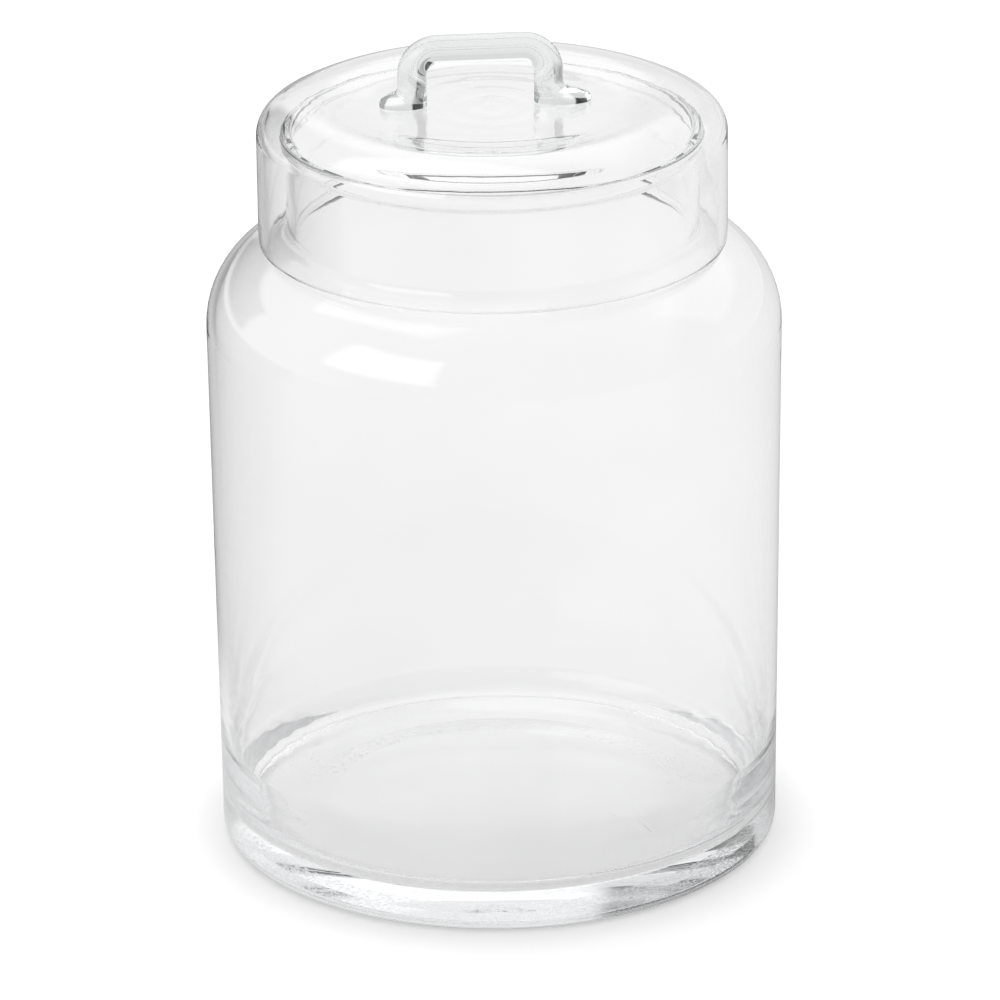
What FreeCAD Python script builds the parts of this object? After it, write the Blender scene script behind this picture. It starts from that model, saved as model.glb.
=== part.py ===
"""Glass storage jar with a lift-off cap lid, in millimetres, +Z up, origin under the middle of the base."""
import os
from math import hypot, radians, sqrt, tan

import FreeCAD, Part

# Jar body
body_radius = 90.0
body_taper = 1.5
shoulder_level = 189.0
shoulder_round = 29.0
shoulder_slope = 24.0
jar_wall = 2.8

# Jar base
floor_thickness = 10.0
floor_round = 10.0
heel_wall = 6.0
heel_level = 34.0
heel_blend = 40.0
heel_round = 4.5
foot_width = 24.0
punt_depth = 1.5

# Jar neck
neck_radius = 64.1
neck_height = 32.0
neck_round = 4.0
bead_height = 5.0
bead_swell = 0.95
bead_round = 1.2
rim_round = 1.3

# Lid
lid_wall = 2.5
lid_side_gap = 5.4
lid_head_gap = 6.0
seat_gap = 0.3
lid_edge_round = 1.1
crown_rise = 3.2
crown_drop = 7.2
crown_run = 15.4
crown_side_round = 7.0
crown_top_round = 35.0
dish_margin = 4.8
dish_round = 45.0

# Handle
rod_diameter = 9.1
grip_width = 33.2
grip_height = 13.2
grip_round = 7.8
handle_offset = -3.4
toe_reach_left = 5.6
toe_reach_right = 8.6
toe_width = 10.0
toe_height = 3.9
toe_blend = 1.2

# Edges shorter than this are left out of an outline
shortest_edge = 0.001

# Worked out from the sizes above
base_radius = body_radius - body_taper
rim_radius = neck_radius + bead_swell
shoulder_rise = (body_radius - neck_radius) * tan(radians(shoulder_slope))
neck_foot = shoulder_level + shoulder_rise
rim_top = neck_foot + neck_height
lid_bore = rim_radius + lid_side_gap
lid_radius = lid_bore + lid_wall
lid_under = rim_top + lid_head_gap
lid_top = lid_under + lid_wall
rod_radius = rod_diameter / 2
bar_level = lid_top + grip_height + rod_radius
leg_reach = grip_width / 2 + rod_diameter
toe_tip = max(leg_reach + toe_reach_left - handle_offset, leg_reach + toe_reach_right + handle_offset)
dish_radius = toe_tip + dish_margin


def unit(start, end):
    """Direction from one outline point to another."""
    run = hypot(end[0] - start[0], end[1] - start[1])
    return (end[0] - start[0]) / run, (end[1] - start[1]) / run


def inset(corners, wall):
    """The same outline moved to the left of its run by a wall, with its rounds kept concentric."""
    moved = []
    last = len(corners) - 1
    for i, (r, z, rounding) in enumerate(corners):
        ahead = unit(corners[i], corners[i + 1]) if i < last else None
        behind = unit(corners[i - 1], corners[i]) if i else ahead
        ahead = ahead or behind
        left_turn = behind[0] * ahead[1] - behind[1] * ahead[0] > 0
        share = wall / (1 + behind[0] * ahead[0] + behind[1] * ahead[1])
        inner_round = rounding - wall if left_turn else rounding + wall
        moved.append((r - (behind[1] + ahead[1]) * share,
                      z + (behind[0] + ahead[0]) * share,
                      max(inner_round, 0.0) if rounding else 0.0))
    return moved


def crossing(start, end, level):
    """Radius at which the line between two outline points reaches a level."""
    return start[0] + (end[0] - start[0]) * (level - start[1]) / (end[1] - start[1])


def half_turn_tangent(before, corner, after):
    """Tangent of half the angle that an outline turns through at a corner."""
    behind, ahead = unit(before, corner), unit(corner, after)
    cosine = behind[0] * ahead[0] + behind[1] * ahead[1]
    return sqrt((1 - cosine) / (1 + cosine))


def rounded_edges(corners):
    """Straight edges joined by tangent arcs, each arc limited by the runs beside it."""
    last = len(corners) - 1
    reach = [0.0] * len(corners)
    for i in range(1, last):
        reach[i] = corners[i][2] * half_turn_tangent(corners[i - 1], corners[i], corners[i + 1])
    for i in range(last):
        run = hypot(corners[i + 1][0] - corners[i][0], corners[i + 1][1] - corners[i][1])
        used = reach[i] + reach[i + 1]
        if used > run:
            reach[i] *= run / used
            reach[i + 1] *= run / used
    edges = []
    pen = FreeCAD.Vector(corners[0][0], 0, corners[0][1])
    for i in range(1, last + 1):
        corner = FreeCAD.Vector(corners[i][0], 0, corners[i][1])
        behind = (corner - pen).normalize()
        touch = corner - behind * reach[i]
        if (touch - pen).Length > shortest_edge:
            edges.append(Part.LineSegment(pen, touch).toShape())
            pen = touch
        if reach[i] > 0:
            after = FreeCAD.Vector(corners[i + 1][0], 0, corners[i + 1][1])
            ahead = (after - corner).normalize()
            leave = corner + ahead * reach[i]
            half = half_turn_tangent(corners[i - 1], corners[i], corners[i + 1])
            radius = reach[i] / half
            inward = (ahead - behind).normalize()
            middle = corner + inward * (radius * sqrt(1 + half * half) - radius)
            edges.append(Part.Arc(pen, middle, leave).toShape())
            pen = leave
    return edges


def outline_face(corners):
    """Flat half section in the XZ plane, bounded by a closed run of rounded corners."""
    return Part.Face(Part.Wire(rounded_edges(corners + [corners[0]])))


def spun(face):
    """Solid turned from a half section about the upright axis."""
    return face.revolve(FreeCAD.Vector(0, 0, 0), FreeCAD.Vector(0, 0, 1), 360)


def jar_section():
    """Half section of the jar: thick base and heel, tapering wall, shoulder, neck and beaded rim."""
    wall_line = [(base_radius, 0.0, 0.0),
                 (body_radius, shoulder_level, shoulder_round),
                 (neck_radius, neck_foot, neck_round),
                 (neck_radius, rim_top, 0.0)]
    inner = inset(wall_line, jar_wall)
    foot_radius = base_radius - foot_width
    punt_span = foot_radius ** 2 + punt_depth ** 2
    bead_level = rim_top - bead_height
    outside = [(0.0, punt_depth, 0.0),
               (punt_span / (2 * foot_radius), punt_depth, punt_span / (2 * punt_depth)),
               (foot_radius, 0.0, 0.0),
               (base_radius, 0.0, heel_round),
               wall_line[1],
               wall_line[2],
               (neck_radius, bead_level, bead_round),
               (rim_radius, bead_level + bead_swell, bead_round),
               (rim_radius, rim_top, rim_round)]
    inside = [(inner[3][0], rim_top, rim_round),
              inner[2],
              inner[1],
              (crossing(inner[0], inner[1], heel_level), heel_level, heel_blend),
              (base_radius - heel_wall, floor_thickness, floor_round),
              (0.0, floor_thickness, 0.0)]
    return outline_face(outside + inside)


def lid_section(lid_bottom):
    """Half section of the cap lid: upright skirt, raised rounded crown and dished middle."""
    crown_corner = lid_top + crown_rise
    over = [(lid_radius, lid_bottom, 0.0),
            (lid_radius, crown_corner - crown_drop, crown_side_round),
            (lid_radius - crown_run, crown_corner, crown_top_round),
            (dish_radius, lid_top, dish_round),
            (0.0, lid_top, 0.0)]
    under = inset(over, lid_wall)
    skirt_edge = [(lid_bore, lid_bottom, lid_edge_round),
                  (lid_radius, lid_bottom, lid_edge_round)]
    return outline_face(under[:0:-1] + skirt_edge + over[1:])


def make_lid(jar_half):
    """Cap lid whose skirt reaches down until only the seat gap is left above the jar's shoulder."""
    lid_bottom = rim_top
    gap = lid_side_gap
    while gap - seat_gap > shortest_edge:
        lid_bottom -= gap - seat_gap
        gap = lid_section(lid_bottom).distToShape(jar_half)[0]
    return spun(lid_section(lid_bottom))


def make_toe(leg_x, reach, side):
    """Flattened end of the rod, pressed onto the lid and turned outwards from its leg."""
    half_length = (rod_diameter + reach) / 2
    toe = Part.makeSphere(1.0, FreeCAD.Vector(0, 0, 0), FreeCAD.Vector(0, 0, 1), 0, 90, 360)
    stretch = FreeCAD.Matrix()
    stretch.scale(half_length, toe_width / 2, toe_height)
    toe = toe.transformGeometry(stretch)
    toe.translate(FreeCAD.Vector(leg_x + side * (half_length - rod_radius), 0, lid_top))
    return toe


def make_handle():
    """Bent rod handle: two legs, two bends and a bar, with a flattened toe under each leg."""
    left = handle_offset - grip_width / 2 - rod_radius
    right = handle_offset + grip_width / 2 + rod_radius
    path = [(left, lid_top, 0.0),
            (left, bar_level, grip_round),
            (right, bar_level, grip_round),
            (right, lid_top, 0.0)]
    spine = Part.Wire(rounded_edges(path))
    section = Part.Wire(Part.makeCircle(rod_radius, FreeCAD.Vector(left, 0, lid_top),
                                        FreeCAD.Vector(0, 0, 1)))
    rod = spine.makePipeShell([section], True, False)
    toes = [make_toe(left, toe_reach_left, -1), make_toe(right, toe_reach_right, 1)]
    handle = rod.fuse(toes).removeSplitter()
    creases = [edge for edge in handle.Edges
               if edge.Curve.TypeId != "Part::GeomLine"
               and toe_height / 4 < edge.CenterOfMass.z - lid_top < toe_height]
    return handle.makeFillet(toe_blend, creases)


def write_part(name, shape):
    """Write one sub-part and print its size."""
    box = shape.BoundBox
    shape.exportStep("parts/" + name + ".step")
    print("%s: valid %s, %d solid, volume %.1f cm3, %.1f x %.1f x %.1f mm, z %.2f to %.2f"
          % (name, shape.isValid(), len(shape.Solids), shape.Volume / 1000,
             box.XLength, box.YLength, box.ZLength, box.ZMin, box.ZMax))


os.makedirs("parts", exist_ok=True)
section = jar_section()
write_part("jar", spun(section))
write_part("lid", make_lid(section))
write_part("lid_handle", make_handle())
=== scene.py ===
"""Studio picture of a clear glass storage jar with a cap lid and a bent rod handle.

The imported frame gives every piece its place. The glass is turned, drawn and dressed around it, in metres.
"""
import logging
import math
from dataclasses import dataclass, field
from enum import Enum
from typing import Callable, NamedTuple, Sequence, Union

import bpy
from mathutils import Matrix, Vector


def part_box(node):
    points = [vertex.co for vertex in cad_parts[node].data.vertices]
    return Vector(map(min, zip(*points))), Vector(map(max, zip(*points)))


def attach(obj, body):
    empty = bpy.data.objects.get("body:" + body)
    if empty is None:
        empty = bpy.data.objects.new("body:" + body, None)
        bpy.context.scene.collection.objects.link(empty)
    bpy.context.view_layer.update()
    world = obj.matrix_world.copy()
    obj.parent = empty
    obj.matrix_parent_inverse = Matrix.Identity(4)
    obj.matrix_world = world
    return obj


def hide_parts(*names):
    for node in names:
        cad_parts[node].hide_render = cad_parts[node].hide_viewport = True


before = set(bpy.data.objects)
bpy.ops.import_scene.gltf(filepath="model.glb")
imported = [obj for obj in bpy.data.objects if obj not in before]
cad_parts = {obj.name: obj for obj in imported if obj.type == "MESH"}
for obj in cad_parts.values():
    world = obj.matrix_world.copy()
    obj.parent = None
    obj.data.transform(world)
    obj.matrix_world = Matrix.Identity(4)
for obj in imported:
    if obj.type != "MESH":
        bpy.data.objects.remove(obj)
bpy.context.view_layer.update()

MM = 0.001
ARC_STEP = math.radians(6.0)
STEPS_PER_WAVE = 6
SAME_LEVEL = 0.01 * MM
SHORTEST_RUN = 0.001 * MM
MERGE_REACH = 0.002 * MM
SMOOTH_ANGLE = math.radians(60.0)
VOID_SEGMENTS = 12
VOID_RINGS = 8
RING_PEAK = 0.15
BOUNCES = 40
LOG = logging.getLogger("glass_jar")

Socket = bpy.types.NodeSocket
Term = Union[float, Socket]


class Corner(NamedTuple):
    """One corner of a half section: radius from the axis, height, and how far it is rounded."""

    r: float
    z: float
    rounding: float = 0.0


def heading(start: Corner, end: Corner) -> Vector:
    """Direction from one corner to the next."""
    return Vector((end.r - start.r, end.z - start.z)).normalized()


def half_turn_tangent(before: Corner, corner: Corner, after: Corner) -> float:
    """Tangent of half the angle that the outline turns through at a corner."""
    cosine = heading(before, corner).dot(heading(corner, after))
    return math.sqrt((1 - cosine) / (1 + cosine))


def inset(corners: Sequence[Corner], wall: float) -> list[Corner]:
    """Moves an open outline to the left of its run, keeping its rounds concentric.

    Args:
        corners: The outline to move.
        wall: How far to move it.

    Returns:
        The moved corners, in the same order.
    """
    moved = []
    last = len(corners) - 1
    for i, corner in enumerate(corners):
        ahead = heading(corners[i], corners[i + 1]) if i < last else heading(corners[i - 1], corners[i])
        behind = heading(corners[i - 1], corners[i]) if i else ahead
        left_turn = behind.x * ahead.y - behind.y * ahead.x > 0
        share = wall / (1 + behind.dot(ahead))
        rounding = corner.rounding - wall if left_turn else corner.rounding + wall
        moved.append(Corner(corner.r - (behind.y + ahead.y) * share,
                            corner.z + (behind.x + ahead.x) * share,
                            max(rounding, 0.0) if corner.rounding else 0.0))
    return moved


def rounded_run(corners: Sequence[Corner], arc_step: float, longest: float) -> list[Vector]:
    """Points along an outline whose corners are rounded by tangent arcs.

    Args:
        corners: The outline's corners.
        arc_step: Largest angle between two points on an arc, in radians.
        longest: Largest distance between two points.

    Returns:
        Points in the plane, from the first corner to the last.
    """
    spots = [Vector((corner.r, corner.z)) for corner in corners]
    last = len(corners) - 1
    reach = [0.0] * len(corners)
    for i in range(1, last):
        reach[i] = corners[i].rounding * half_turn_tangent(*corners[i - 1:i + 2])
    for i in range(last):
        run = (spots[i + 1] - spots[i]).length
        used = reach[i] + reach[i + 1]
        if used > run:
            reach[i] *= run / used
            reach[i + 1] *= run / used
    points = [spots[0]]
    for i in range(1, last + 1):
        behind = heading(corners[i - 1], corners[i])
        touch = spots[i] - behind * reach[i]
        start = points[-1]
        run = (touch - start).length
        if run > SHORTEST_RUN:
            steps = max(1, math.ceil(run / longest))
            points += [start.lerp(touch, k / steps) for k in range(1, steps + 1)]
        if reach[i] > 0:
            half = half_turn_tangent(*corners[i - 1:i + 2])
            radius = reach[i] / half
            ahead = heading(corners[i], corners[i + 1])
            side = Vector((-behind.y, behind.x))
            side *= 1 if side.dot(ahead) > 0 else -1
            turn = 2 * math.atan(half)
            steps = max(2, math.ceil(turn / min(arc_step, longest / radius)))
            for k in range(1, steps + 1):
                angle = turn * k / steps
                points.append(touch + behind * radius * math.sin(angle)
                              + side * radius * (1 - math.cos(angle)))
    return points


@dataclass(frozen=True)
class Ripples:
    """Rings that the spinning left around the middle of a flat face."""

    level: float
    reach: float
    spacing: float
    depth: float

    def holds(self, point: Vector) -> bool:
        """Whether a point of the outline lies level with the rippled face."""
        return abs(point.y - self.level) < SAME_LEVEL

    def moved(self, point: Vector) -> Vector:
        """Raises or lowers one point of the outline.

        Args:
            point: The point on the smooth face.

        Returns:
            The point with the ripples in it.
        """
        share = point.x / self.reach
        if share >= 1 or not self.holds(point):
            return point
        fade = (1 - share * share) ** 2
        wave = math.cos(math.tau * point.x / self.spacing)
        return point + Vector((0.0, self.depth * fade * (wave - 1) / 2))

    def settle(self, points: Sequence[Vector]) -> list[Vector]:
        """Divides the outline finely where the ripples are, and raises and lowers it.

        Args:
            points: The outline's points.

        Returns:
            The same points, with the ripples in them.
        """
        out = [self.moved(points[0])]
        for start, end in zip(points, points[1:]):
            rippled = self.holds(start) and self.holds(end) and min(start.x, end.x) < self.reach
            steps = math.ceil((end - start).length / (self.spacing / STEPS_PER_WAVE)) if rippled else 1
            out += [self.moved(start.lerp(end, k / steps)) for k in range(1, steps + 1)]
        return out


@dataclass(frozen=True)
class WallRings:
    """Level rings that the cold mould left round the inside of the lower wall."""

    within: float
    low: float
    high: float
    spacing: float
    depth: float

    def moved(self, point: Vector) -> Vector:
        """Moves one point of the outline in or out.

        Args:
            point: The point on the smooth wall.

        Returns:
            The point with the rings in it, which fade out at both ends.
        """
        share = (point.y - self.low) / (self.high - self.low)
        if not 0 < share < 1 or point.x > self.within:
            return point
        fade = share * (1 - share) ** 2 / RING_PEAK
        return point - Vector((self.depth * fade * math.cos(math.tau * point.y / self.spacing), 0.0))

    def settle(self, points: Sequence[Vector]) -> list[Vector]:
        """Divides the outline finely where the rings are, and moves it in and out.

        Args:
            points: The outline's points.

        Returns:
            The points with the rings in them.
        """
        out = [points[0]]
        for start, end in zip(points, points[1:]):
            ringed = max(start.x, end.x) < self.within and start.y > self.low and end.y < self.high
            steps = math.ceil((end - start).length / (self.spacing / STEPS_PER_WAVE)) if ringed else 1
            out += [self.moved(start.lerp(end, k / steps)) for k in range(1, steps + 1)]
        return out


@dataclass(frozen=True)
class Void:
    """A seed bubble or a hair-thin flaw: its middle, half its sizes, and its turn about the upright axis."""

    middle: tuple[float, float, float]
    half_sizes: tuple[float, float, float]
    turn: float = 0.0


class Bench:
    """The modelling operators that every piece is made with."""

    @staticmethod
    def start(name: str, add: Callable[[], object]) -> bpy.types.Object:
        """Adds a primitive with nothing else selected, and opens it in edit mode, selected all over.

        Args:
            name: The new piece's name.
            add: Call that adds the primitive.

        Returns:
            The new object.
        """
        bpy.ops.object.select_all(action="DESELECT")
        add()
        piece = bpy.context.object
        piece.name = name
        piece.data.name = name
        bpy.ops.object.mode_set(mode="EDIT")
        bpy.ops.mesh.select_all(action="SELECT")
        return piece

    @staticmethod
    def close(piece: bpy.types.Object, voids: Sequence[Void] = ()) -> None:
        """Merges doubles, turns faces outwards and leaves edit mode with the place in the mesh.

        Args:
            piece: The piece that is open in edit mode.
            voids: Small hollows to leave inside it, whose faces look into the hollow.
        """
        bpy.ops.mesh.select_all(action="SELECT")
        bpy.ops.mesh.remove_doubles(threshold=MERGE_REACH)
        bpy.ops.mesh.normals_make_consistent(inside=False)
        for void in voids:
            bpy.ops.mesh.select_all(action="DESELECT")
            bpy.ops.mesh.primitive_uv_sphere_add(
                segments=VOID_SEGMENTS, ring_count=VOID_RINGS, radius=1.0, location=void.middle,
                rotation=(0.0, 0.0, void.turn), scale=void.half_sizes)
            bpy.ops.mesh.flip_normals()
        bpy.ops.object.mode_set(mode="OBJECT")
        bpy.ops.object.transform_apply(location=True, rotation=True, scale=True)
        bpy.ops.object.shade_smooth_by_angle(angle=SMOOTH_ANGLE)

    @classmethod
    def turned(cls, name: str, outline: Sequence[Vector], steps: int,
               voids: Sequence[Void] = ()) -> bpy.types.Object:
        """Turns a half section about the upright axis, as on a lathe.

        Args:
            name: The new piece's name.
            outline: Points of the closed half section, radius and height, from axis to axis.
            steps: Number of steps in the full turn.
            voids: Small hollows to leave in the glass.

        Returns:
            The new object.
        """
        def speck() -> None:
            """Adds the small ring that is merged into the outline's first point."""
            bpy.ops.mesh.primitive_circle_add(vertices=3, radius=MM,
                                              location=(outline[0].x, 0.0, outline[0].y))

        piece = cls.start(name, speck)
        bpy.ops.mesh.merge(type="CENTER")
        for here, there in zip(outline, outline[1:]):
            bpy.ops.mesh.extrude_vertices_move(
                TRANSFORM_OT_translate={"value": (there.x - here.x, 0.0, there.y - here.y)})
        bpy.ops.mesh.select_all(action="SELECT")
        bpy.ops.mesh.spin(steps=steps, angle=math.tau, center=(0.0, 0.0, 0.0), axis=(0.0, 0.0, 1.0))
        cls.close(piece, voids)
        return piece


class Wiring:
    """Adds nodes to one tree and links them."""

    def __init__(self, tree: bpy.types.NodeTree) -> None:
        """Takes the tree to add to."""
        self.tree = tree

    def add(self, kind: str, feeds: dict[Union[int, str], object], **settings: object) -> bpy.types.Node:
        """Adds one node.

        Args:
            kind: Blender's name for the kind of node.
            feeds: A value or another node's socket for each input that is set.
            settings: The node's own properties.

        Returns:
            The new node.
        """
        node = self.tree.nodes.new(kind)
        for name, value in settings.items():
            setattr(node, name, value)
        for key, value in feeds.items():
            if isinstance(value, Socket):
                self.tree.links.new(value, node.inputs[key])
            else:
                node.inputs[key].default_value = value
        return node

    def math(self, operation: str, *terms: Term) -> Socket:
        """Result of a Math node on numbers or sockets."""
        return self.add("ShaderNodeMath", dict(enumerate(terms)), operation=operation).outputs[0]

    def fade(self, value: Term, start: float, end: float, low: float, high: float) -> Socket:
        """Smooth change from low to high while a value runs from start to end."""
        feeds = {"Value": value, "From Min": start, "From Max": end, "To Min": low, "To Max": high}
        return self.add("ShaderNodeMapRange", feeds, interpolation_type="SMOOTHSTEP").outputs[0]

    def blend(self, share: Term, one: Term, other: Term) -> Socket:
        """Mix of two numbers by a share from 0 to 1."""
        feeds = {"Factor": share, "A": one, "B": other}
        return self.add("ShaderNodeMix", feeds, data_type="FLOAT").outputs["Result"]


class Mark(Enum):
    """Effects that more than one glass shares, each one a shader node group."""

    WAVES = "glass_waves"
    WEAR = "glass_wear"


class Effects:
    """Builds each shared node group once."""

    cord_flatness: float = 0.06
    cloud_scale: float = 28.0
    cloud_detail: float = 4.0
    smear_span: tuple[float, float] = (0.52, 0.78)
    grit_scale: float = 900.0
    grit_detail: float = 6.0
    grit_roughness: float = 0.7
    grit_span: tuple[float, float] = (0.42, 0.66)
    shade_span: tuple[float, float] = (0.3, 0.8)
    worn_shade: float = 0.985

    @staticmethod
    def new_group(mark: Mark, inputs: Sequence[str], outputs: Sequence[str]) -> tuple[Wiring, dict]:
        """Starts a group with named number sockets.

        Args:
            mark: The effect.
            inputs: Names of the number inputs.
            outputs: Names of the number outputs.

        Returns:
            The wiring of the group's tree, and its input sockets by name.
        """
        tree = bpy.data.node_groups.new(mark.value, "ShaderNodeTree")
        for name in inputs:
            tree.interface.new_socket(name, in_out="INPUT", socket_type="NodeSocketFloat")
        for name in outputs:
            tree.interface.new_socket(name, in_out="OUTPUT", socket_type="NodeSocketFloat")
        wires = Wiring(tree)
        given = wires.add("NodeGroupInput", {}).outputs
        return wires, {name: given[name] for name in inputs}

    @classmethod
    def waves(cls) -> bpy.types.NodeTree:
        """Slow swells and finer level cords that hand working leaves in blown glass.

        Returns:
            The group, whose output is a height.
        """
        if Mark.WAVES.value in bpy.data.node_groups:
            return bpy.data.node_groups[Mark.WAVES.value]
        wires, given = cls.new_group(Mark.WAVES, ("Swells per Metre", "Cords per Metre", "Cord Share"),
                                     ("Height",))
        place = wires.add("ShaderNodeTexCoord", {}).outputs["Object"]
        swell = wires.add("ShaderNodeTexNoise", {"Vector": place, "Scale": given["Swells per Metre"],
                                                 "Detail": 1.0}).outputs["Fac"]
        split = wires.add("ShaderNodeSeparateXYZ", {0: place})
        across = wires.math("MULTIPLY", given["Cords per Metre"], cls.cord_flatness)
        drawn = wires.add("ShaderNodeCombineXYZ", {
            "X": wires.math("MULTIPLY", split.outputs["X"], across),
            "Y": wires.math("MULTIPLY", split.outputs["Y"], across),
            "Z": wires.math("MULTIPLY", split.outputs["Z"], given["Cords per Metre"])})
        cord = wires.add("ShaderNodeTexNoise", {"Vector": drawn.outputs[0], "Scale": 1.0,
                                                "Detail": 2.0}).outputs["Fac"]
        wires.add("NodeGroupOutput", {"Height": wires.blend(given["Cord Share"], swell, cord)})
        return wires.tree

    @classmethod
    def wear(cls) -> bpy.types.NodeTree:
        """Faint smears from handling, and scuffs on whatever lies below a level.

        Returns:
            The group, whose outputs are a roughness and a shade.
        """
        if Mark.WEAR.value in bpy.data.node_groups:
            return bpy.data.node_groups[Mark.WEAR.value]
        wires, given = cls.new_group(Mark.WEAR, ("Smear", "Scuff", "Scuff Level"),
                                     ("Roughness", "Shade"))
        place = wires.add("ShaderNodeTexCoord", {}).outputs["Object"]
        cloud = wires.add("ShaderNodeTexNoise", {"Vector": place, "Scale": cls.cloud_scale,
                                                 "Detail": cls.cloud_detail}).outputs["Fac"]
        smear = wires.math("MULTIPLY", wires.fade(cloud, *cls.smear_span, 0.0, 1.0), given["Smear"])
        height = wires.add("ShaderNodeSeparateXYZ", {0: place}).outputs["Z"]
        low = wires.math("LESS_THAN", height, given["Scuff Level"])
        grit = wires.add("ShaderNodeTexNoise", {"Vector": place, "Scale": cls.grit_scale,
                                                "Detail": cls.grit_detail,
                                                "Roughness": cls.grit_roughness}).outputs["Fac"]
        scuff = wires.math("MULTIPLY", wires.math("MULTIPLY", low, given["Scuff"]),
                           wires.fade(grit, *cls.grit_span, 0.0, 1.0))
        wires.add("NodeGroupOutput", {
            "Roughness": wires.math("ADD", smear, scuff),
            "Shade": wires.fade(cloud, *cls.shade_span, 1.0, cls.worn_shade)})
        return wires.tree


@dataclass(frozen=True)
class ClearGlass:
    """Clear glass: what it absorbs, and how it is waved and worn."""

    name: str
    absorbs: tuple[float, float, float] = (0.80, 0.86, 0.90)
    density: float = 1.2
    ior: float = 1.5
    swells: float = 45.0
    cords: float = 320.0
    cord_share: float = 0.35
    wave_depth: float = 0.05 * MM
    smear: float = 0.012
    scuff: float = 0.0
    scuff_level: float = -1.0

    def build(self) -> bpy.types.Material:
        """Makes the material.

        Returns:
            The new material.
        """
        material = bpy.data.materials.new(self.name)
        material.use_nodes = True
        wires = Wiring(material.node_tree)
        shader = material.node_tree.nodes["Principled BSDF"]
        waves = wires.add("ShaderNodeGroup", {}, node_tree=Effects.waves())
        for name, value in (("Swells per Metre", self.swells), ("Cords per Metre", self.cords),
                            ("Cord Share", self.cord_share)):
            waves.inputs[name].default_value = value
        bump = wires.add("ShaderNodeBump", {"Height": waves.outputs["Height"], "Strength": 1.0,
                                            "Distance": self.wave_depth})
        wear = wires.add("ShaderNodeGroup", {}, node_tree=Effects.wear())
        for name, value in (("Smear", self.smear), ("Scuff", self.scuff),
                            ("Scuff Level", self.scuff_level)):
            wear.inputs[name].default_value = value
        shade = wires.add("ShaderNodeCombineColor", {key: wear.outputs["Shade"] for key in range(3)})
        links = material.node_tree.links
        links.new(bump.outputs[0], shader.inputs["Normal"])
        links.new(wear.outputs["Roughness"], shader.inputs["Roughness"])
        links.new(shade.outputs[0], shader.inputs["Base Color"])
        shader.inputs["IOR"].default_value = self.ior
        shader.inputs["Transmission Weight"].default_value = 1.0
        depth = wires.add("ShaderNodeVolumeAbsorption", {"Color": (*self.absorbs, 1.0),
                                                         "Density": self.density})
        links.new(depth.outputs[0], material.node_tree.nodes["Material Output"].inputs["Volume"])
        return material


def hand_over(piece: bpy.types.Object, finish: ClearGlass, node: str, body: str) -> None:
    """Dresses a piece and lets it stand for its node on its body.

    Args:
        piece: The modelled piece.
        finish: Its glass.
        node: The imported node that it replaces.
        body: The body that carries it.
    """
    piece.data.materials.append(finish.build())
    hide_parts(node)
    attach(piece, body)


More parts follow.
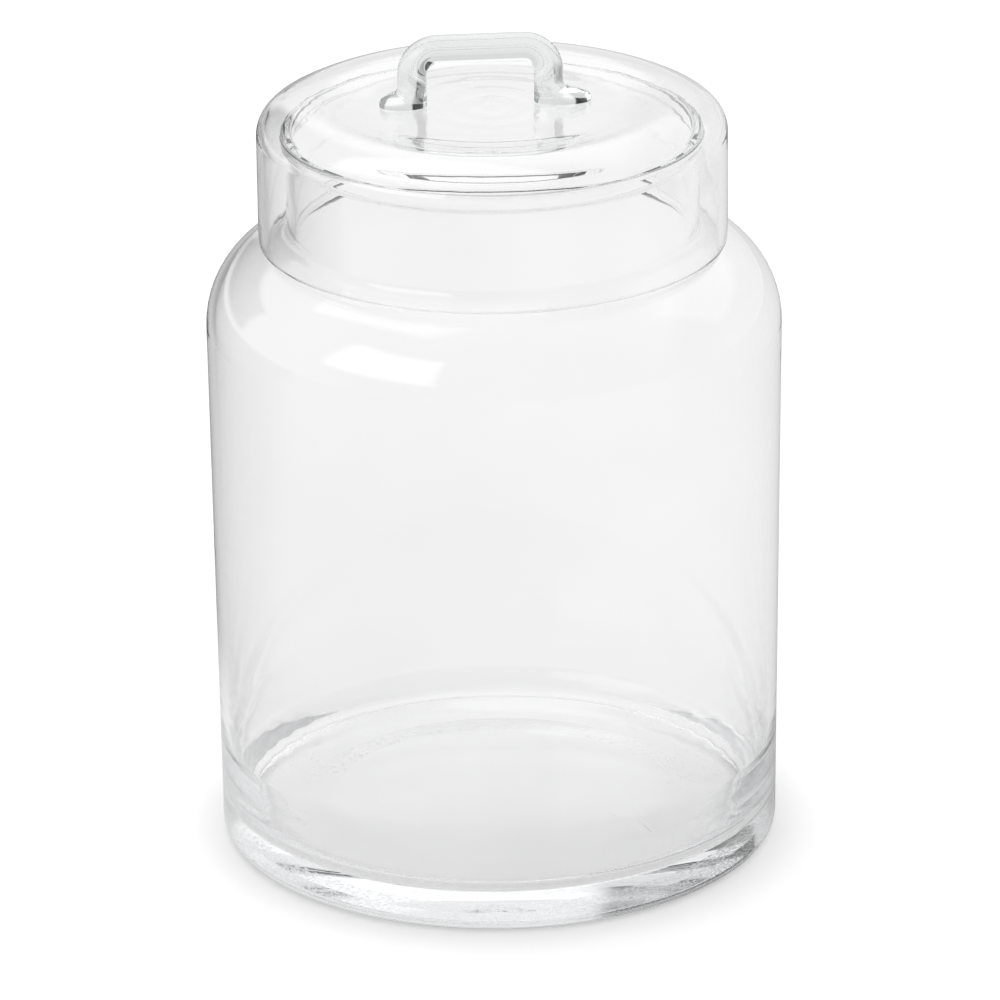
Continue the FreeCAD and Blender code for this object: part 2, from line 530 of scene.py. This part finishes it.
@dataclass
class Jar:
    """The jar: thick base, tapering wall, round shoulder, neck and beaded rim."""

    body_radius: float = 90.0 * MM
    body_taper: float = 1.5 * MM
    shoulder_level: float = 189.0 * MM
    shoulder_round: float = 29.0 * MM
    shoulder_slope: float = 24.0
    wall: float = 2.8 * MM
    floor_thickness: float = 10.0 * MM
    floor_round: float = 10.0 * MM
    heel_wall: float = 6.0 * MM
    heel_level: float = 34.0 * MM
    heel_blend: float = 40.0 * MM
    heel_round: float = 4.5 * MM
    foot_width: float = 24.0 * MM
    foot_round: float = 1.0 * MM
    punt_depth: float = 1.5 * MM
    neck_radius: float = 64.1 * MM
    neck_round: float = 4.0 * MM
    bead_height: float = 5.0 * MM
    bead_swell: float = 0.95 * MM
    bead_round: float = 1.2 * MM
    rim_round: float = 1.3 * MM
    wall_rings: WallRings = WallRings(87.0 * MM, 12.0 * MM, 74.0 * MM, 6.2 * MM, 0.016 * MM)
    floor_rings: Ripples = Ripples(10.0 * MM, 16.0 * MM, 9.0 * MM, 0.10 * MM)
    flaws: tuple[Void, ...] = (
        Void((36.5 * MM, -29.5 * MM, 9.5 * MM), (6.0 * MM, 0.30 * MM, 0.20 * MM), -0.85),
        Void((42.5 * MM, -41.0 * MM, 9.5 * MM), (7.5 * MM, 0.30 * MM, 0.20 * MM), -1.25))
    longest_run: float = 12.0 * MM
    turn_steps: int = 384
    finish: ClearGlass = field(default_factory=lambda: ClearGlass(
        "jar_glass", cords=200.0, cord_share=0.2, wave_depth=0.02 * MM, scuff=0.35,
        scuff_level=0.4 * MM))

    def section(self) -> list[Corner]:
        """Half section from the middle of the punt, round the outside and back to the floor.

        Returns:
            The section's corners.
        """
        rim_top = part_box("jar")[1].z
        base_radius = self.body_radius - self.body_taper
        rise = (self.body_radius - self.neck_radius) * math.tan(math.radians(self.shoulder_slope))
        wall_line = [Corner(base_radius, 0.0),
                     Corner(self.body_radius, self.shoulder_level, self.shoulder_round),
                     Corner(self.neck_radius, self.shoulder_level + rise, self.neck_round),
                     Corner(self.neck_radius, rim_top)]
        inner = inset(wall_line, self.wall)
        foot_radius = base_radius - self.foot_width
        punt_span = foot_radius ** 2 + self.punt_depth ** 2
        bead_level = rim_top - self.bead_height
        rim_radius = self.neck_radius + self.bead_swell
        slope = (inner[1].r - inner[0].r) / (inner[1].z - inner[0].z)
        heel_top = inner[0].r + slope * (self.heel_level - inner[0].z)
        return [Corner(0.0, self.punt_depth),
                Corner(punt_span / (2 * foot_radius), self.punt_depth, punt_span / (2 * self.punt_depth)),
                Corner(foot_radius, 0.0, self.foot_round),
                Corner(base_radius, 0.0, self.heel_round),
                wall_line[1],
                wall_line[2],
                Corner(self.neck_radius, bead_level, self.bead_round),
                Corner(rim_radius, bead_level + self.bead_swell, self.bead_round),
                Corner(rim_radius, rim_top, self.rim_round),
                Corner(inner[3].r, rim_top, self.rim_round),
                inner[2],
                inner[1],
                Corner(heel_top, self.heel_level, self.heel_blend),
                Corner(base_radius - self.heel_wall, self.floor_thickness, self.floor_round),
                Corner(0.0, self.floor_thickness)]

    def build(self) -> bpy.types.Object:
        """Turns the jar, dresses it and lets it ride on its body.

        Returns:
            The jar.
        """
        outline = rounded_run(self.section(), ARC_STEP, self.longest_run)
        outline = self.wall_rings.settle(self.floor_rings.settle(outline))
        piece = Bench.turned("glass_jar", outline, self.turn_steps, self.flaws)
        hand_over(piece, self.finish, "jar", "jar")
        return piece


@dataclass
class Lid:
    """The cap lid: upright skirt, raised rounded crown and dished middle with faint rings."""

    wall: float = 2.5 * MM
    edge_round: float = 1.1 * MM
    crown_rise: float = 2.7 * MM
    crown_drop: float = 7.2 * MM
    crown_run: float = 14.4 * MM
    crown_side_round: float = 7.6 * MM
    crown_top_round: float = 28.0 * MM
    dish_radius: float = 40.5 * MM
    dish_round: float = 40.0 * MM
    ripple_reach: float = 38.0 * MM
    ripple_spacing: float = 9.0 * MM
    ripple_depth: float = 0.16 * MM
    longest_run: float = 1.3 * MM
    turn_steps: int = 256
    finish: ClearGlass = field(default_factory=lambda: ClearGlass(
        "lid_glass", swells=105.0, cords=220.0, cord_share=0.15, wave_depth=0.05 * MM))

    def section(self) -> list[Corner]:
        """Half section from the underside's middle, down the skirt, and back over the top.

        Returns:
            The section's corners.
        """
        low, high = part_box("lid")
        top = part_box("lid_handle")[0].z
        outer = high.x
        crown_corner = top + self.crown_rise
        over = [Corner(outer, low.z),
                Corner(outer, crown_corner - self.crown_drop, self.crown_side_round),
                Corner(outer - self.crown_run, crown_corner, self.crown_top_round),
                Corner(self.dish_radius, top, self.dish_round),
                Corner(0.0, top)]
        under = inset(over, self.wall)
        edge = [Corner(outer - self.wall, low.z, self.edge_round),
                Corner(outer, low.z, self.edge_round)]
        return under[:0:-1] + edge + over[1:]

    def build(self) -> bpy.types.Object:
        """Turns the lid, dresses it and lets it ride on its body.

        Returns:
            The lid.
        """
        rings = Ripples(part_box("lid_handle")[0].z, self.ripple_reach, self.ripple_spacing,
                        self.ripple_depth)
        outline = rings.settle(rounded_run(self.section(), ARC_STEP, self.longest_run))
        piece = Bench.turned("glass_lid", outline, self.turn_steps)
        hand_over(piece, self.finish, "lid", "lid")
        return piece


@dataclass
class Handle:
    """The handle: a bent glass rod whose two toes are pressed onto the lid.

    Each row of toe_profile is a share of the toe's reach, and shares of its height for the
    corner's level and its round.
    """

    rod_radius: float = 4.55 * MM
    grip_width: float = 33.2 * MM
    bend_radius: float = 7.8 * MM
    toe_reach_left: float = 5.6 * MM
    toe_reach_right: float = 8.6 * MM
    toe_width: float = 10.0 * MM
    toe_height: float = 3.9 * MM
    toe_profile: tuple[tuple[float, float, float], ...] = (
        (1.0, 0.0, 0.0), (1.0, 0.55, 0.5), (0.5, 0.95, 1.0), (0.0, 1.2, 0.6), (0.0, 1.8, 0.0))
    toe_arc_step: float = math.radians(9.0)
    toe_run: float = 1.0 * MM
    seeds: tuple[Void, ...] = (
        Void((16.7 * MM, -1.2 * MM, 248.4 * MM), (0.34 * MM, 0.34 * MM, 0.42 * MM)),
        Void((18.5 * MM, -0.9 * MM, 249.7 * MM), (0.42 * MM, 0.42 * MM, 0.50 * MM)),
        Void((15.3 * MM, -0.6 * MM, 246.2 * MM), (0.26 * MM, 0.26 * MM, 0.34 * MM)))
    sides: int = 48
    bend_steps: int = 16
    finish: ClearGlass = field(default_factory=lambda: ClearGlass(
        "handle_glass", absorbs=(0.80, 0.83, 0.82), density=72.0, wave_depth=0.03 * MM))

    def toe_outline(self, reach: float) -> list[Vector]:
        """How far the toe sticks out beyond the leg at each height above the lid.

        Args:
            reach: How far it sticks out at its foot.

        Returns:
            Reach and height of each ring, from the foot up.
        """
        tall = self.toe_height
        corners = [Corner(out * reach, up * tall, rounding * tall)
                   for out, up, rounding in self.toe_profile]
        return rounded_run(corners, self.toe_arc_step, self.toe_run)

    def breadth(self, spot: Vector, reach: float) -> float:
        """Half width of the ring at one spot of a toe's outline."""
        return self.rod_radius + (self.toe_width / 2 - self.rod_radius) * max(spot.x, 0.0) / reach

    def grow(self, outline: Sequence[Vector], side: float, leg_x: float, reach: float) -> None:
        """Extrudes the selected ring through the rings of a toe's outline.

        Args:
            outline: Reach and height of each ring, the first one being where the ring is now.
            side: 1.0 where the toe points to +X, and -1.0 where it points to -X.
            leg_x: The leg's place along X.
            reach: How far the toe sticks out at its foot.
        """
        for here, there in zip(outline, outline[1:]):
            bpy.ops.mesh.extrude_edges_move(
                TRANSFORM_OT_translate={"value": (0.0, 0.0, there.y - here.y)})
            long_ratio = (2 * self.rod_radius + there.x) / (2 * self.rod_radius + here.x)
            wide_ratio = self.breadth(there, reach) / self.breadth(here, reach)
            bpy.ops.transform.resize(value=(long_ratio, wide_ratio, 1.0),
                                     center_override=(leg_x - side * self.rod_radius, 0.0, 0.0))

    def draw(self, way: tuple[float, float, float]) -> None:
        """Draws the selected ring out along a straight way."""
        bpy.ops.mesh.extrude_edges_move(TRANSFORM_OT_translate={"value": way})

    def bend(self, middle: tuple[float, float, float]) -> None:
        """Bends the rod through a quarter turn about a middle."""
        bpy.ops.mesh.spin(steps=self.bend_steps, angle=math.pi / 2, axis=(0.0, -1.0, 0.0),
                          center=middle)

    def build(self) -> bpy.types.Object:
        """Draws the rod from toe to toe, dresses it and lets it ride on the lid.

        Returns:
            The handle.
        """
        low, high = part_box("lid_handle")
        left = low.x + self.toe_reach_left + self.rod_radius
        right = left + self.grip_width + 2 * self.rod_radius
        leg_top = high.z - self.rod_radius - self.bend_radius
        rise = self.toe_outline(self.toe_reach_left)
        fall = self.toe_outline(self.toe_reach_right)[::-1]

        def ring() -> None:
            """Adds the filled ring that becomes the left toe's foot."""
            bpy.ops.mesh.primitive_circle_add(vertices=self.sides, radius=self.rod_radius,
                                              fill_type="NGON", location=(left, 0.0, low.z))

        piece = Bench.start("glass_lid_handle", ring)
        bpy.ops.transform.resize(
            value=(1 + rise[0].x / (2 * self.rod_radius), self.toe_width / (2 * self.rod_radius), 1.0),
            center_override=(left + self.rod_radius, 0.0, low.z))
        self.grow(rise, -1.0, left, self.toe_reach_left)
        self.draw((0.0, 0.0, leg_top - low.z - rise[-1].y))
        self.bend((left + self.bend_radius, 0.0, leg_top))
        self.draw((right - left - 2 * self.bend_radius, 0.0, 0.0))
        self.bend((right - self.bend_radius, 0.0, leg_top))
        self.draw((0.0, 0.0, low.z + fall[0].y - leg_top))
        self.grow(fall, 1.0, right, self.toe_reach_right)
        bpy.ops.mesh.edge_face_add()
        Bench.close(piece, self.seeds)
        hand_over(piece, self.finish, "lid_handle", "lid")
        return piece


@dataclass(frozen=True)
class Card:
    """A card hung in the surround, which only the glass sees: where it is and how bright.

    Turns are degrees from +Y towards +X, rises are degrees above the floor.
    """

    turn: tuple[float, float]
    rise: tuple[float, float]
    edge: float
    shade: float

    def mask(self, wires: Wiring, turn: Socket, rise: Socket) -> Socket:
        """Share of the card in each direction.

        Args:
            wires: Wiring of the surround's tree.
            turn: The direction's turn, in degrees.
            rise: The direction's rise, in degrees.

        Returns:
            1 on the card and 0 off it.
        """
        sides = []
        for value, (start, end) in ((turn, self.turn), (rise, self.rise)):
            sides += [wires.fade(value, start - self.edge, start + self.edge, 0.0, 1.0),
                      wires.fade(value, end - self.edge, end + self.edge, 1.0, 0.0)]
        mask = sides[0]
        for side in sides[1:]:
            mask = wires.math("MULTIPLY", mask, side)
        return mask


@dataclass
class Softbox:
    """One soft studio lamp."""

    name: str
    place: tuple[float, float, float]
    target: tuple[float, float, float]
    width: float
    height: float
    watts: float

    def build(self) -> bpy.types.Object:
        """Hangs the lamp and points it at its target.

        Returns:
            The lamp's object.
        """
        lamp = bpy.data.lights.new(self.name, "AREA")
        lamp.shape = "RECTANGLE"
        lamp.size, lamp.size_y = self.width, self.height
        lamp.energy = self.watts
        holder = bpy.data.objects.new(self.name, lamp)
        bpy.context.scene.collection.objects.link(holder)
        holder.location = self.place
        aim = Vector(self.target) - Vector(self.place)
        holder.rotation_euler = aim.to_track_quat("-Z", "Y").to_euler()
        holder.visible_camera = False
        return holder


@dataclass
class Studio:
    """White floor and surround, soft lamps and the camera at the photograph's angle."""

    floor_size: float = 60.0
    floor_level: float = -0.3 * MM
    floor_albedo: float = 0.85
    light_level: float = 0.56
    lift_seen: float = 0.66
    lift_through: float = 0.49
    # Painted light under the jar, seen through the glass, from its front to its back.
    under_front: float = -0.05
    under_back: float = 0.22
    under_radius: float = 88.0 * MM
    under_edge: float = 4.0 * MM
    under_start: float = -0.53
    # Reach and depth of the painted contact shadow round the jar, where the floor is seen straight.
    painted_shadow_reach: float = 18.0 * MM
    painted_shadow_depth: float = 0.38
    front_seen: float = 0.6
    front_span: tuple[float, float] = (-0.7, 0.3)
    overhead_seen: float = 0.9
    overhead_span: tuple[float, float] = (48.0, 66.0)
    # Painted shade behind the left side, seen through the glass.
    left_share: float = 0.12
    beside_span: tuple[float, float] = (-0.42, -0.14)
    behind_span: tuple[float, float] = (-0.02, 0.11)
    # Levels of the floor's painted reflection in the glass.
    mirrored_left: float = 0.08
    mirrored_right: float = 0.5
    mirrored_span: tuple[float, float] = (-0.30, 0.30)
    near_left: float = 0.75
    near_right: float = 0.42
    near_span: tuple[float, float] = (-0.08, 0.08)
    near_reach: tuple[float, float] = (0.13, 0.22)
    softbox: Softbox = field(default_factory=lambda: Softbox(
        "top_softbox", (-0.3, 0.6, 1.8), (0.0, 0.0, 0.1), 1.2, 1.2, 4.0))
    cards: tuple[Card, ...] = (Card((-54.0, -10.0), (3.0, 25.0), 2.0, 0.02),
                               Card((-8.0, 75.0), (21.0, 52.0), 4.0, 1.45),
                               Card((-150.0, -100.0), (18.0, 48.0), 3.0, 2.2))
    pitch: float = 21.6224
    yaw: float = 0.2646
    roll: float = -0.7295
    swing: float = 4.5
    distance: float = 2.15182
    aim_x: float = -8.70 * MM
    aim_z: float = 109.07 * MM
    lens: float = 245.33
    sensor_width: float = 36.0

    def lift_in_glass(self, wires: Wiring, across: Socket, away: Socket, radius: Socket) -> Socket:
        """How far the floor is lifted where it is seen through glass, with painted light and shade in it.

        Args:
            wires: Wiring of the floor's tree.
            across: The spot's place along X.
            away: The spot's place along Y.
            radius: The spot's distance from the jar's axis.

        Returns:
            The lift, with painted shade behind the left side, where it is less, and painted light under the
            jar, lower at its front and higher at its back.
        """
        behind = wires.fade(away, *self.behind_span, 0.0, 1.0)
        beside = wires.fade(across, *self.beside_span, self.left_share, 1.0)
        through = wires.math("MULTIPLY", wires.blend(behind, 1.0, beside), self.lift_through)
        inside = wires.fade(radius, self.under_radius - self.under_edge,
                            self.under_radius + self.under_edge, 1.0, 0.0)
        slope = wires.fade(away, self.under_start * self.under_radius, self.under_radius,
                           self.under_front, self.under_back)
        return wires.math("ADD", through, wires.math("MULTIPLY", inside, slope))

    def level_in_mirror(self, wires: Wiring, across: Socket, radius: Socket) -> Socket:
        """The painted reflection: how bright the floor is where it is only mirrored in the glass.

        Args:
            wires: Wiring of the floor's tree.
            across: The spot's place along X.
            radius: The spot's distance from the jar's axis.

        Returns:
            The level, darker to the left and brighter close to the jar.
        """
        far = wires.fade(across, *self.mirrored_span, self.mirrored_left, self.mirrored_right)
        near = wires.fade(across, *self.near_span, self.near_left, self.near_right)
        return wires.blend(wires.fade(radius, *self.near_reach, 1.0, 0.0), far, near)

    def build_floor(self) -> bpy.types.Object:
        """Lays the floor: matt white, lifted to full white where it is seen straight or through glass, with
        a painted contact shadow where it is seen straight, painted light and shade where it is seen through
        glass, and a painted reflection where the glass only mirrors it.

        Returns:
            The floor.
        """
        def plane() -> None:
            """Adds the plane."""
            bpy.ops.mesh.primitive_plane_add(size=self.floor_size, location=(0.0, 0.0, self.floor_level))

        floor = Bench.start("studio_floor", plane)
        bpy.ops.mesh.subdivide(number_cuts=3)
        Bench.close(floor)
        material = bpy.data.materials.new("floor_white")
        material.use_nodes = True
        material.node_tree.nodes.clear()
        wires = Wiring(material.node_tree)
        path = wires.add("ShaderNodeLightPath", {}).outputs
        # Painted contact shadow: the lift for camera rays is lowered where ambient occlusion finds the jar
        # close by.
        nearby = wires.add("ShaderNodeAmbientOcclusion", {"Distance": self.painted_shadow_reach})
        hidden = wires.math("SUBTRACT", 1.0, nearby.outputs["AO"])
        painted_contact_shadow = wires.math("MULTIPLY", hidden, self.painted_shadow_depth)
        mirrored = wires.math("GREATER_THAN", wires.math(
            "SUBTRACT", path["Is Glossy Ray"], path["Is Transmission Ray"]), 0.5)
        place = wires.add("ShaderNodeNewGeometry", {}).outputs["Position"]
        across, away, _ = wires.add("ShaderNodeSeparateXYZ", {0: place}).outputs
        radius = wires.add("ShaderNodeVectorMath", {0: place}, operation="LENGTH").outputs["Value"]
        seen = wires.math("MULTIPLY", path["Is Camera Ray"],
                          wires.math("SUBTRACT", self.lift_seen, painted_contact_shadow))
        through = wires.math("MULTIPLY", path["Is Transmission Ray"],
                             self.lift_in_glass(wires, across, away, radius))
        lift = wires.math("ADD", seen, through)
        # Painted reflection: the floor's level where the glass only mirrors it.
        card = self.level_in_mirror(wires, across, radius)
        matt = wires.add("ShaderNodeBsdfDiffuse", {"Color": (self.floor_albedo,) * 3 + (1.0,)})
        lifted = wires.add("ShaderNodeAddShader", {
            0: matt.outputs[0],
            1: wires.add("ShaderNodeEmission", {"Strength": lift}).outputs[0]})
        both = wires.add("ShaderNodeMixShader", {
            0: mirrored,
            1: lifted.outputs[0],
            2: wires.add("ShaderNodeEmission", {"Strength": card}).outputs[0]})
        wires.add("ShaderNodeOutputMaterial", {"Surface": both.outputs[0]})
        floor.data.materials.append(material)
        return floor

    def build_surround(self) -> None:
        """Sets the world: a plain light, white where it is seen, and the cards that the glass sees."""
        world = bpy.data.worlds.new("studio_surround")
        bpy.context.scene.world = world
        world.use_nodes = True
        world.node_tree.nodes.clear()
        wires = Wiring(world.node_tree)
        path = wires.add("ShaderNodeLightPath", {}).outputs
        where = wires.add("ShaderNodeTexCoord", {}).outputs["Generated"]
        x, y, z = wires.add("ShaderNodeSeparateXYZ", {0: where}).outputs
        turn = wires.math("MULTIPLY", wires.math("ARCTAN2", x, y), math.degrees(1.0))
        rise = wires.math("MULTIPLY", wires.math("ARCSINE", z), math.degrees(1.0))
        room = wires.math("MULTIPLY", wires.fade(y, *self.front_span, self.front_seen, 1.0),
                          wires.fade(rise, *self.overhead_span, 1.0, self.overhead_seen))
        for card in self.cards:
            room = wires.blend(card.mask(wires, turn, rise), room, card.shade)
        glassy = wires.math("MAXIMUM", path["Is Glossy Ray"], path["Is Transmission Ray"])
        level = wires.blend(glassy, self.light_level, room)
        level = wires.blend(path["Is Camera Ray"], level, 1.0)
        sky = wires.add("ShaderNodeBackground", {"Strength": level})
        wires.add("ShaderNodeOutputWorld", {"Surface": sky.outputs[0]})

    def build_camera(self) -> bpy.types.Object:
        """Puts the camera at the photograph's place and angle.

        Returns:
            The camera's object.
        """
        data = bpy.data.cameras.new("studio_camera")
        data.lens = self.lens
        data.sensor_width = self.sensor_width
        camera = bpy.data.objects.new("studio_camera", data)
        bpy.context.scene.collection.objects.link(camera)
        swing = Matrix.Rotation(math.radians(-self.swing), 4, "Z")
        tilt = math.radians(self.pitch)
        back = Vector((0.0, -math.cos(tilt), math.sin(tilt)))
        spot = Vector((self.aim_x, 0.0, self.aim_z)) + back * self.distance
        turn = (Matrix.Rotation(math.radians(90.0) - tilt, 4, "X")
                @ Matrix.Rotation(math.radians(-self.yaw), 4, "Y")
                @ Matrix.Rotation(math.radians(self.roll), 4, "Z"))
        camera.matrix_world = swing @ Matrix.Translation(spot) @ turn
        bpy.context.scene.camera = camera
        return camera

    def build(self) -> None:
        """Builds floor, surround, lamps and camera."""
        self.build_floor()
        self.build_surround()
        self.softbox.build()
        self.build_camera()
        scene = bpy.context.scene
        scene.view_settings.view_transform = "Standard"
        scene.cycles.max_bounces = BOUNCES
        scene.cycles.transmission_bounces = BOUNCES
        scene.cycles.glossy_bounces = BOUNCES


def main() -> None:
    """Builds the studio and every piece, and reports each one."""
    logging.basicConfig(level=logging.INFO, format="%(name)s: %(message)s")
    Studio().build()
    for maker in (Jar(), Lid(), Handle()):
        piece = maker.build()
        LOG.info("%s: %d faces, %.1f mm tall", piece.name, len(piece.data.polygons),
                 piece.dimensions.z / MM)


if __name__ == "__main__":
    main()
